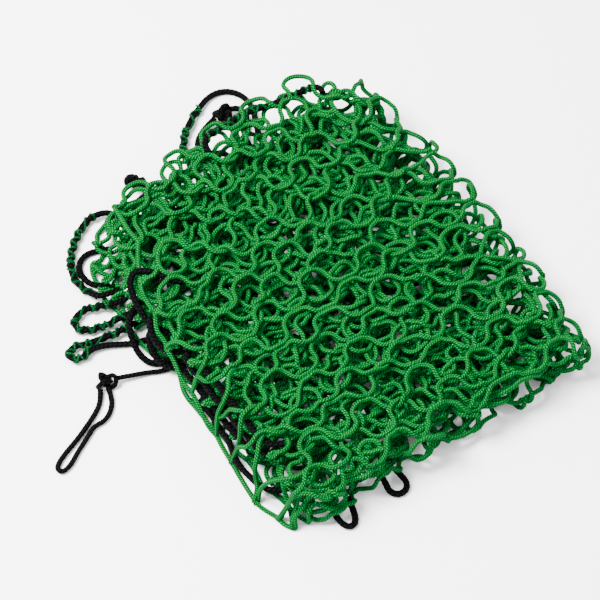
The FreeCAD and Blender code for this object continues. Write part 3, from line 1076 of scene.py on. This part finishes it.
    def build(self, ropes: np.ndarray, finish: bpy.types.Material) -> None:
        """Folds the net and makes one piece for each leaf and each bight.

        Args:
            ropes: Points of the ropes that its cords keep clear of.
            finish: The cord's material.
        """
        lines = refine(self.closed(self.fold(ropes)), self.fine)
        lines[..., 2] = np.maximum(lines[..., 2], self.cord / 2)
        rings, along = self.form.rings(lines)
        gathered: dict[str, CordMesh] = {}
        for strand in range(self.strands):
            runs = self.runs(strand, lines[strand])
            for node, first, last in runs:
                mesh = gathered.setdefault(node, CordMesh(f"{node}_cords"))
                mesh.add(rings[strand, first:last + 1], along[strand, first:last + 1],
                         (strand * self.strand_shift) % 1)
            bordered = self.middles[strand] < self.stack.spans()[0] + self.stack.spans()[1]
            if strand % 2 == 0 and bordered:
                for end, inner, node in ((0, self.edge_inward, runs[0][0]),
                                         (-1, -1 - self.edge_inward, runs[-1][0])):
                    bar, reach = self.border_bar(lines, strand, end, inner * self.fine)
                    gathered[node].add(bar, reach, (strand * self.edge_shift) % 1)
        for node, mesh in sorted(gathered.items()):
            piece = mesh.build(finish)
            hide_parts(node)
            if node.startswith("fold_bight"):
                level = int(node[-1])
                share = self.outer_blend if level > FOLD_BIGHTS // 2 else self.inner_blend
                reach = share * (level - 0.5) * self.stack.pitch
                start, end = ((self.stack.hinge_x * MM, 0.0, (self.stack.hinge_z + way) * MM)
                              for way in (-reach, reach))
                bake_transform(piece)
            else:
                upper = any(node == high_node for _, high_node in SPAN_NODES)
                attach(piece, (Half.UPPER if upper else Half.LOWER).value)
            log.info("%s: %d points", piece.name, mesh.count)


# ---------------------------------------------------------------- ropes and cords

ROPE = 6.0
TIE = 5.0
TWINE = 2.2
LINE_SPACING = 1.2
CURVE_CUTS = 24
FEWEST_RUNS = 8
TWINE_SPACING = 0.7
TWINE_BITE = 0.7
UNEVEN_TURNS = ((2.1, 13.0), (0.9, 4.7), (0.5, 2.9))
LOOSER_HAND = 0.4
KNOT_RUNS = 96
KNOT_DEPTH = 0.45
KNOT_WIDTH = 0.8

FAR_OUTER_LOOP = (
    (65, 180.5, 10.3), (69.5, 193.5, 10.5), (77.5, 208.5, 9), (84, 225, 5.5), (83, 242, 3.1),
    (73, 253.5, 3.1), (58, 256, 3.4), (40.5, 248, 5.2), (25, 239.5, 5.6), (10, 227.5, 5.6),
    (-0.5, 212, 5.6), (-4.5, 199.5, 9.4), (-3, 186, 10.3)
)
FAR_INNER_LEAD = (
    (10, 184.5, 10.3), (11.2, 197, 10), (14, 210.5, 5.5), (22.5, 221, 3.1), (34, 226.5, 4.4),
    (46.1, 228.4, 7.5)
)
FAR_INNER_RETURN = (
    (64.7, 228.6, 7.5), (71.3, 226.4, 7), (73, 218, 6.4), (68.5, 208.5, 7.4), (60.5, 201, 9),
    (54.5, 192.5, 10.3), (53, 182, 10.3)
)
FAR_KNOT_TAIL = (
    (56.5, 220.7, 5.6), (54.5, 211, 3.1), (50, 202.5, 3.1), (46.8, 192.8, 3.1), (46.2, 183.3, 3.3)
)
CORNER_LOOP = (
    (-89, 175.4, 10.3), (-92, 187.5, 10.3), (-99, 196.5, 8), (-111.5, 200, 5.6),
    (-124.5, 195, 5.6), (-137, 186, 5.6), (-149, 174.5, 5.6), (-157.5, 161, 5.6),
    (-161, 147, 5.6), (-158.5, 133, 5.6), (-155, 120.5, 8.8), (-145, 115.8, 10.3),
    (-134.5, 114.8, 10.3)
)
CORNER_INNER_LOOP = (
    (-115.5, 161.6, 3.3), (-128, 168, 3.1), (-139.5, 168.5, 3.1), (-149, 161.5, 3.1),
    (-152.5, 151, 3.1), (-151, 140.5, 3.1), (-146, 132.6, 3.1), (-136, 129, 3.3)
)
CORNER_ROPE_END = (
    (-45.4, 187.5, 10.3), (-48.2, 194, 10.5), (-51.6, 200, 10.3)
)
SIDE_LOOP = (
    (-134, 103.3, 10.3), (-147, 104, 9.9), (-158.5, 111, 7.4), (-171, 117.5, 5.6),
    (-184, 114.5, 5.6), (-189, 104.5, 5.6), (-181.5, 96, 5.6), (-167, 92, 5.6),
    (-150.5, 88.8, 8.6), (-133.6, 88, 10.3)
)
LONG_LOOP = (
    (-133, 76.2, 10.3), (-147.5, 76.1, 9.6), (-162, 78.5, 7), (-176.5, 82, 5.6), (-190, 85, 5.6),
    (-199, 88.8, 5.4), (-207, 87.2, 5.4), (-210, 81, 5.4), (-206, 75.4, 5.4), (-197.5, 75.2, 5.4),
    (-188, 77.8, 5.2), (-176, 74.5, 4.4), (-164, 68, 3.2), (-151, 60.6, 3.1), (-137.4, 58.8, 3.3)
)
GATHERED_STRAND_OUTER = (
    (-127.5, 84.2, 24.3), (-139, 83.4, 24.2), (-151, 75, 21.4), (-157, 61.5, 15),
    (-159, 48, 8.4), (-155.5, 36.5, 4.6), (-146, 29.5, 3.4), (-135, 28.5, 3.3)
)
GATHERED_STRAND_INNER = (
    (-131.5, 58.3, 17.3), (-142, 57, 17.3), (-148.5, 45.5, 15.5), (-150.5, 33, 13),
    (-147.5, 20.5, 10.6), (-138, 13.4, 10.3), (-127, 11.6, 10.3)
)
GATHERED_STRAND_TOP = (
    (-96.5, 66, 46.5), (-105.5, 72, 49), (-111, 82.5, 51.5), (-118.5, 92, 52.3),
    (-128.5, 98, 52.3), (-137.8, 92, 50), (-141.5, 81, 45.6), (-143, 68, 40), (-142.5, 54.5, 34.6),
    (-139, 44, 31.9), (-129.4, 39.6, 31.3)
)
GATHERED_STRAND_UPPER = (
    (-126.5, 56.3, 45.3), (-137.5, 55, 45), (-147, 46.5, 42.5), (-149.5, 35, 38),
    (-147.5, 24.2, 33.6), (-140, 16.2, 31.3), (-129.8, 13.6, 31.3)
)
OPEN_EDGE_ROPE_LOW = (
    (-127.5, -22, 10.3), (-139, -23.5, 10.3), (-143.5, -34.5, 10.2), (-142.5, -46.5, 10.4),
    (-146.5, -58.5, 10.2), (-144.5, -72, 10.3), (-149.5, -86, 10.3), (-153, -101, 10.2),
    (-151.5, -117, 10.4), (-149.5, -130.5, 10.2), (-141.5, -141, 10.3), (-130, -146, 10.3)
)
OPEN_EDGE_ROPE_MIDDLE = (
    (-126.5, 26.8, 24.3), (-137.8, 23.6, 24), (-141, 10, 20), (-139, -8, 19.5),
    (-140, -26, 19), (-138, -45, 18.4), (-141, -63, 19.2), (-139.5, -82, 18.6),
    (-140.5, -98, 19.5), (-136.3, -110.3, 23), (-125.5, -113.9, 24.3)
)
OPEN_EDGE_ROPE_UPPER = (
    (-125, 10.8, 37.3), (-135, 7.5, 36.1), (-138.5, -6, 33), (-136, -23, 32),
    (-138.5, -41, 32), (-136, -59, 31.8), (-138.5, -77, 32), (-136.5, -94, 31.7),
    (-138, -110, 32.6), (-134, -121.2, 36), (-124, -124, 37.3)
)
OPEN_EDGE_ROPE_TOP = (
    (-120.5, -5.5, 46), (-130, -8.5, 44.5), (-133, -21, 42.5), (-131, -39, 42),
    (-133.5, -57, 42.4), (-131.2, -75, 42), (-133.5, -92, 42.3), (-131.5, -108, 42.6),
    (-129.5, -119.5, 44.5), (-120.3, -124, 46)
)
FAR_EDGE_ROPE_LOW = (
    (32.8, 184.5, 3.3), (33.2, 193.4, 3.1), (24.5, 197, 3.1), (9, 193.8, 3.1), (-10, 195.2, 3.1),
    (-30, 194, 3.1), (-50, 195.4, 3.1), (-69, 191, 3.1), (-86, 188.8, 3.1), (-97, 188.4, 3.1),
    (-105, 182.6, 3.1), (-101.5, 173, 3.3)
)
FAR_EDGE_ROPE_HIGH = (
    (124.9, 166.6, 52.3), (127.8, 174, 52), (118.5, 180, 50), (101, 182, 49), (80, 184.5, 48.6),
    (58, 189.5, 49.4), (36, 189.5, 48.8), (19, 188, 50.4), (7.5, 184.5, 53), (0.5, 177, 54),
    (1, 168, 51.3)
)
NEAR_LOOP_LEFT = (
    (-107.8, -163, 10.3), (-109, -176, 10), (-112, -188.5, 5.4), (-111, -199.5, 3.1),
    (-105, -205, 3.1), (-98.5, -200.5, 3.1), (-95.5, -190.8, 7), (-94.5, -181.4, 10.3)
)
NEAR_LOOP_RIGHT = (
    (-44, -180.4, 10.3), (-42.5, -187.8, 7.6), (-40.5, -195, 3.8), (-45.5, -201.5, 3.1),
    (-54, -201.5, 3.1), (-59, -194.8, 3.8), (-58, -187.6, 7.6), (-57.5, -180.4, 10.3)
)
TIE_LEAD = (
    (-134.5, 20.5, 3.3), (-147, 22, 2.6), (-160.5, 29.5, 2.6), (-174.5, 33.6, 5),
    (-187.3, 37.9, 6.2)
)
TIE_EYE = (
    (-206.6, 36.9, 4.6), (-212, 28, 2.6), (-222, 20.5, 2.6), (-234.5, 14, 2.6),
    (-249, 7, 2.6), (-263.5, 1.5, 2.6), (-275, -3.5, 2.6), (-282, -9, 2.6), (-280, -15, 2.6),
    (-270, -13, 2.6), (-256, -4, 2.6), (-242, 3, 2.6), (-231, 9.5, 2.6), (-220.5, 8.5, 2.6),
    (-210, 14.5, 2.6), (-202.5, 24, 2.6), (-199.5, 34.6, 4.6)
)


@dataclass(frozen=True)
class RopeRoute:
    """One free rope: the frame's node, its points, its length and what it ends in.

    Twine is wound on it between the two shares of its length, if there are any.
    """

    node: str
    points: tuple[tuple[float, float, float], ...]
    length: float
    half: Half = Half.LOWER
    far_end: FarEnd = FarEnd.NET
    diameter: float = ROPE
    wound: tuple[float, float] | None = None
    turn_pitch: float = 12.0


ROPES = (
    RopeRoute("rope_loop_far_outer", FAR_OUTER_LOOP, 183, wound=(0.56, 0.97)),
    RopeRoute("rope_loop_far_lead", FAR_INNER_LEAD, 66, far_end=FarEnd.KNOT),
    RopeRoute("rope_loop_far_return", FAR_INNER_RETURN, 57),
    RopeRoute("rope_tail_far_knot", FAR_KNOT_TAIL, 39),
    RopeRoute("rope_loop_corner_outer", CORNER_LOOP, 166, wound=(0.2, 0.86)),
    RopeRoute("rope_loop_corner_inner", CORNER_INNER_LOOP, 74),
    RopeRoute("rope_loop_side", SIDE_LOOP, 123, wound=(0.12, 0.9)),
    RopeRoute("rope_loop_long", LONG_LOOP, 161, wound=(0.08, 0.66)),
    RopeRoute("rope_loop_near_left", NEAR_LOOP_LEFT, 73),
    RopeRoute("rope_loop_near_right", NEAR_LOOP_RIGHT, 55),
    RopeRoute("gathered_strand_outer", GATHERED_STRAND_OUTER, 84),
    RopeRoute("gathered_strand_inner", GATHERED_STRAND_INNER, 71),
    RopeRoute("edge_rope_ground", OPEN_EDGE_ROPE_LOW, 145),
    RopeRoute("edge_rope_middle", OPEN_EDGE_ROPE_MIDDLE, 158),
    RopeRoute("edge_rope_far_low", FAR_EDGE_ROPE_LOW, 158),
    RopeRoute("gathered_strand_top", GATHERED_STRAND_TOP, 118, Half.UPPER),
    RopeRoute("gathered_strand_upper", GATHERED_STRAND_UPPER, 69, Half.UPPER),
    RopeRoute("edge_rope_upper", OPEN_EDGE_ROPE_UPPER, 153, Half.UPPER),
    RopeRoute("edge_rope_top", OPEN_EDGE_ROPE_TOP, 135, Half.UPPER),
    RopeRoute("edge_rope_far_high", FAR_EDGE_ROPE_HIGH, 159, Half.UPPER, wound=(0.08, 0.9)),
    RopeRoute("tie_cord_lead", TIE_LEAD, 56, far_end=FarEnd.KNOT, diameter=TIE),
    RopeRoute("tie_cord_eye", TIE_EYE, 198, diameter=TIE),
)
LACED_NODES = {
    "rope_loop_far_outer": "lacing_far_loop",
    "rope_loop_corner_outer": "lacing_corner_loop",
    "rope_loop_side": "lacing_side_loop",
}


@dataclass(frozen=True)
class KnotTie:
    """One knot: the frame's node, the way that its cord runs, its size and its turn."""

    node: str
    way: tuple[float, float, float]
    size: float
    turn: float
    slot: Slot


KNOTS = (
    KnotTie("far_loop_knot", (1, 0, 0), 8.4, 0.3, Slot.ROPE),
    KnotTie("corner_knot", (-0.53, 0.83, 0), 8.2, 0.9, Slot.ROPE),
    KnotTie("tie_knot", (-1, 0.3, 0), 9.2, 0.2, Slot.TIE),
)


def smooth_line(points: tuple[tuple[float, float, float], ...]) -> np.ndarray:
    """The smooth line of a rope that has points as its control points.

    Args:
        points: The route's points, in millimetres.

    Returns:
        Points of the line, evenly spaced, as (point, 3).
    """
    curve = bpy.data.curves.new("route", "CURVE")
    curve.dimensions = "3D"
    curve.resolution_u = CURVE_CUTS
    spline = curve.splines.new("NURBS")
    spline.points.add(len(points) - 1)
    for point, place in zip(spline.points, points):
        point.co = (*place, 1)
    spline.order_u = 3
    spline.use_endpoint_u = True
    carrier = bpy.data.objects.new("route", curve)
    bpy.context.scene.collection.objects.link(carrier)
    seen = carrier.evaluated_get(bpy.context.evaluated_depsgraph_get())
    mesh = bpy.data.meshes.new_from_object(seen)
    line = np.array([tuple(v.co) for v in mesh.vertices])
    bpy.data.meshes.remove(mesh)
    bpy.data.objects.remove(carrier)
    bpy.data.curves.remove(curve)
    reach = np.concatenate([[0], np.cumsum(np.linalg.norm(np.diff(line, axis=0), axis=1))])
    at = np.linspace(0, reach[-1], max(FEWEST_RUNS, round(reach[-1] / LINE_SPACING)) + 1)
    return np.stack([np.interp(at, reach, line[:, axis]) for axis in range(3)], 1)


def winding(line: np.ndarray, share: tuple[float, float], reach: float, pitch: float,
            hand: int) -> np.ndarray:
    """The line of a twine that is wound round a rope, with its turns a little uneven.

    Args:
        line: The rope's points.
        share: Where the winding starts and ends, as shares of the rope.
        reach: The distance from the rope's line to the twine's.
        pitch: The length of rope that one turn takes.
        hand: 1 for a right-handed winding, -1 for a left-handed one.

    Returns:
        Points of the twine's line.
    """
    side, up = carried_frames(line[None])
    steps = np.linalg.norm(np.diff(line, axis=0), axis=1)
    along = np.concatenate([[0], np.cumsum(steps)])
    at = np.arange(share[0] * along[-1], share[1] * along[-1], TWINE_SPACING)
    uneven = sum(swing * np.sin(at / length) for swing, length in UNEVEN_TURNS)
    angle = hand * (2 * np.pi * at / pitch + uneven * (1 + LOOSER_HAND * hand)) + hand

    def sampled(values: np.ndarray) -> np.ndarray:
        """The values of the rope's points at the twine's places."""
        return np.stack([np.interp(at, along, values[:, axis]) for axis in range(3)], 1)

    out = sampled(side[0]) * np.cos(angle)[:, None] + sampled(up[0]) * np.sin(angle)[:, None]
    return sampled(line) + unit(out) * reach


def overhand(place: tuple[float, float, float], way: tuple[float, float, float], size: float,
             turn: float) -> np.ndarray:
    """The closed line of a pulled-tight overhand knot.

    Args:
        place: Its middle.
        way: The direction in which its cord runs.
        size: Half of its length along the cord.
        turn: How far it is turned about the cord.

    Returns:
        Points of the line, the last one being the first.
    """
    at = np.linspace(0, 2 * np.pi, KNOT_RUNS + 1)
    shape = np.stack([(np.sin(at) + 2 * np.sin(2 * at)) / 3,
                      (np.cos(at) - 2 * np.cos(2 * at)) / 3, -np.sin(3 * at) * KNOT_DEPTH], 1)
    along = unit(np.array(way, float))
    side = unit(np.cross([0.0, 0.0, 1.0], along))
    up = np.cross(along, side)
    across = side * math.cos(turn) + up * math.sin(turn)
    over = np.cross(along, across)
    return np.array(place) + size * (shape @ np.array([along, across * KNOT_WIDTH, over]))


@dataclass
class RopeWork:
    """The black border rope's loops, the tie cord, their knots and the twine wound on them."""

    rope: bpy.types.Material
    tie: bpy.types.Material
    twine: bpy.types.Material
    rope_form: CordForm = CordForm(ROPE / 2, sides=12, pitch=8.0, relief=0.10, plaits=3)
    tie_form: CordForm = CordForm(TIE / 2, sides=10, pitch=7.0, relief=0.10, plaits=2)
    twine_form: CordForm = CordForm(TWINE / 2, sides=6, pitch=3.0, relief=0.08, plaits=1)
    knot_clearance: float = 0.1
    lines: dict[str, np.ndarray] = field(default_factory=dict)

    def __post_init__(self) -> None:
        """Reads every rope's smooth line."""
        for route in ROPES:
            self.lines[route.node] = smooth_line(route.points)

    def obstacles(self) -> np.ndarray:
        """Points of all the ropes, for the net to keep clear of."""
        return np.concatenate([line[::3] for line in self.lines.values()])

    def strand(self, name: str, line: np.ndarray, form: CordForm, finish: bpy.types.Material,
               slot: Slot, half: Half) -> bpy.types.Object:
        """One piece of cord along a line.

        Args:
            name: The piece's name.
            line: Its points, in millimetres.
            form: Its braided form.
            finish: Its material.
            slot: Not used.
            half: The body that it rides on.

        Returns:
            The piece.
        """
        rings, along = form.rings(line[None])
        gathered = CordMesh(name)
        gathered.add(rings[0], along[0])
        piece = gathered.build(finish)
        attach(piece, half.value)
        return piece

    def wound(self, route: RopeRoute, line: np.ndarray) -> bpy.types.Object:
        """The twine that is laced round a rope, once each way.

        Args:
            route: The rope's route.
            line: The rope's points.

        Returns:
            The piece.
        """
        gathered = CordMesh(f"{route.node}_winding")
        reach = (ROPE + TWINE) / 2 - TWINE_BITE
        for hand in (1, -1):
            turns = winding(line, route.wound, reach, route.turn_pitch, hand)
            rings, along = self.twine_form.rings(turns[None])
            gathered.add(rings[0], along[0])
        twine = gathered.build(self.twine)
        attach(twine, route.half.value)
        return twine

    def dress(self, slot: Slot) -> tuple[CordForm, bpy.types.Material]:
        """The braided form and the finish of the cord that a slot stands for."""
        return (self.tie_form, self.tie) if slot is Slot.TIE else (self.rope_form, self.rope)

    def knots(self) -> dict[str, bpy.types.Object]:
        """Ties the knots in the rope and in the tie cord.

        Returns:
            The pieces, by the node that each stands for.
        """
        made = {}
        for knot in KNOTS:
            form, finish = self.dress(knot.slot)
            low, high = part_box(knot.node)
            line = overhand(tuple((low + high) / 2 / MM), knot.way, knot.size, knot.turn)
            line[:, 2] = np.maximum(line[:, 2], form.radius + self.knot_clearance)
            piece = self.strand(f"{knot.node}_tied", line, form, finish, knot.slot, Half.LOWER)
            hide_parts(knot.node)
            made[knot.node] = piece
        return made

    def build(self) -> None:
        """Builds every rope with what goes with it."""
        knots = self.knots()
        stub = self.strand("rope_end_corner_braided", smooth_line(CORNER_ROPE_END),
                           self.rope_form, self.rope, Slot.ROPE, Half.LOWER)
        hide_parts("rope_end_corner")
        with_rope = {
            "rope_loop_far_lead": [knots["far_loop_knot"]],
            "edge_rope_far_low": [stub, knots["corner_knot"]],
            "tie_cord_lead": [knots["tie_knot"]],
        }
        for route in ROPES:
            line = self.lines[route.node]
            slot = Slot.TIE if route.diameter == TIE else Slot.ROPE
            form, finish = self.dress(slot)
            piece = self.strand(f"{route.node}_braided", line, form, finish, slot, route.half)
            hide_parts(route.node)
            pieces = list(with_rope.get(route.node, []))
            if route.wound:
                twine = self.wound(route, line)
                if route.node in LACED_NODES:
                    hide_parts(LACED_NODES[route.node])
                pieces.append(twine)
            log.info("%s: %.0f mm of cord", piece.name, route.length)


# ---------------------------------------------------------------- the studio


@dataclass(frozen=True)
class SoftLight:
    """One square light that points at the bundle: its place, its width and its watts."""

    name: str
    place: tuple[float, float, float]
    size: float
    power: float


@dataclass
class Studio:
    """A pale floor, soft lights and the camera, in metres and degrees."""

    azimuth: float = -35.0
    elevation: float = 55.0
    distance: float = 3.2
    target: tuple[float, float, float] = (-0.0046, 0.018, 0.0)
    across: float = 0.54
    sensor: float = 36.0
    clip: tuple[float, float] = (0.1, 50.0)
    floor_reach: float = 6.0
    floor_shade: float = 0.86
    floor_roughness: float = 0.9
    surround: float = 1.7
    soft_lights: tuple[SoftLight, ...] = (
        SoftLight("key", (-0.9, 0.5, 1.8), 0.9, 290.0),
        SoftLight("fill", (1.2, -1.0, 1.4), 1.4, 25.0),
        SoftLight("rim", (0.3, 1.6, 1.5), 1.2, 25.0),
    )

    def floor(self) -> None:
        """A wide pale floor just under the bundle."""
        mesh = bpy.data.meshes.new("studio_floor")
        reach, shade = self.floor_reach, self.floor_shade
        corners = [(-reach, -reach, 0), (reach, -reach, 0), (reach, reach, 0), (-reach, reach, 0)]
        mesh.from_pydata(corners, [], [(0, 1, 2, 3)])
        sheet = bpy.data.objects.new("studio_floor", mesh)
        paint = bpy.data.materials.new("pale_floor")
        paint.use_nodes = True
        shader = paint.node_tree.nodes["Principled BSDF"]
        shader.inputs["Base Color"].default_value = (shade, shade, shade, 1)
        shader.inputs["Roughness"].default_value = self.floor_roughness
        mesh.materials.append(paint)
        bpy.context.scene.collection.objects.link(sheet)

    def lights(self) -> None:
        """A broad key light overhead, a fill, and a bright surround."""
        world = bpy.data.worlds.new("studio")
        bpy.context.scene.world = world
        world.use_nodes = True
        backdrop = world.node_tree.nodes["Background"]
        backdrop.inputs["Color"].default_value = (1, 1, 1, 1)
        backdrop.inputs["Strength"].default_value = self.surround
        for light in self.soft_lights:
            lamp = bpy.data.lights.new(light.name, "AREA")
            lamp.size = light.size
            lamp.energy = light.power
            holder = bpy.data.objects.new(light.name, lamp)
            holder.location = light.place
            holder.rotation_euler = (-Vector(light.place)).to_track_quat("-Z", "Y").to_euler()
            bpy.context.scene.collection.objects.link(holder)

    def camera(self) -> None:
        """A long lens on the near left of the bundle, looking down."""
        lens = bpy.data.cameras.new("camera")
        lens.sensor_width = self.sensor
        lens.lens = self.sensor * self.distance / self.across
        holder = bpy.data.objects.new("camera", lens)
        turn, tilt = math.radians(self.azimuth), math.radians(self.elevation)
        back = Vector((math.sin(turn) * math.cos(tilt), -math.cos(turn) * math.cos(tilt),
                       math.sin(tilt)))
        holder.location = Vector(self.target) + back * self.distance
        holder.rotation_euler = (-back).to_track_quat("-Z", "Y").to_euler()
        lens.clip_start, lens.clip_end = self.clip
        bpy.context.scene.collection.objects.link(holder)
        bpy.context.scene.camera = holder


def main() -> None:
    """Builds the pieces in order."""
    logging.basicConfig(level=logging.INFO, format="%(message)s")
    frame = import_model()
    studio = Studio()
    studio.camera()
    plait = plait_group()
    ropes = RopeWork(ROPE_BRAID.material(plait), TIE_BRAID.material(plait),
                     TWINE_TWIST.material(plait))
    ropes.build()
    net = FoldedNet(FoldedStack.of_frame(frame))
    net.build(ropes.obstacles(), NET_BRAID.material(plait))
    studio.floor()
    studio.lights()


if __name__ == "__main__":
    main()
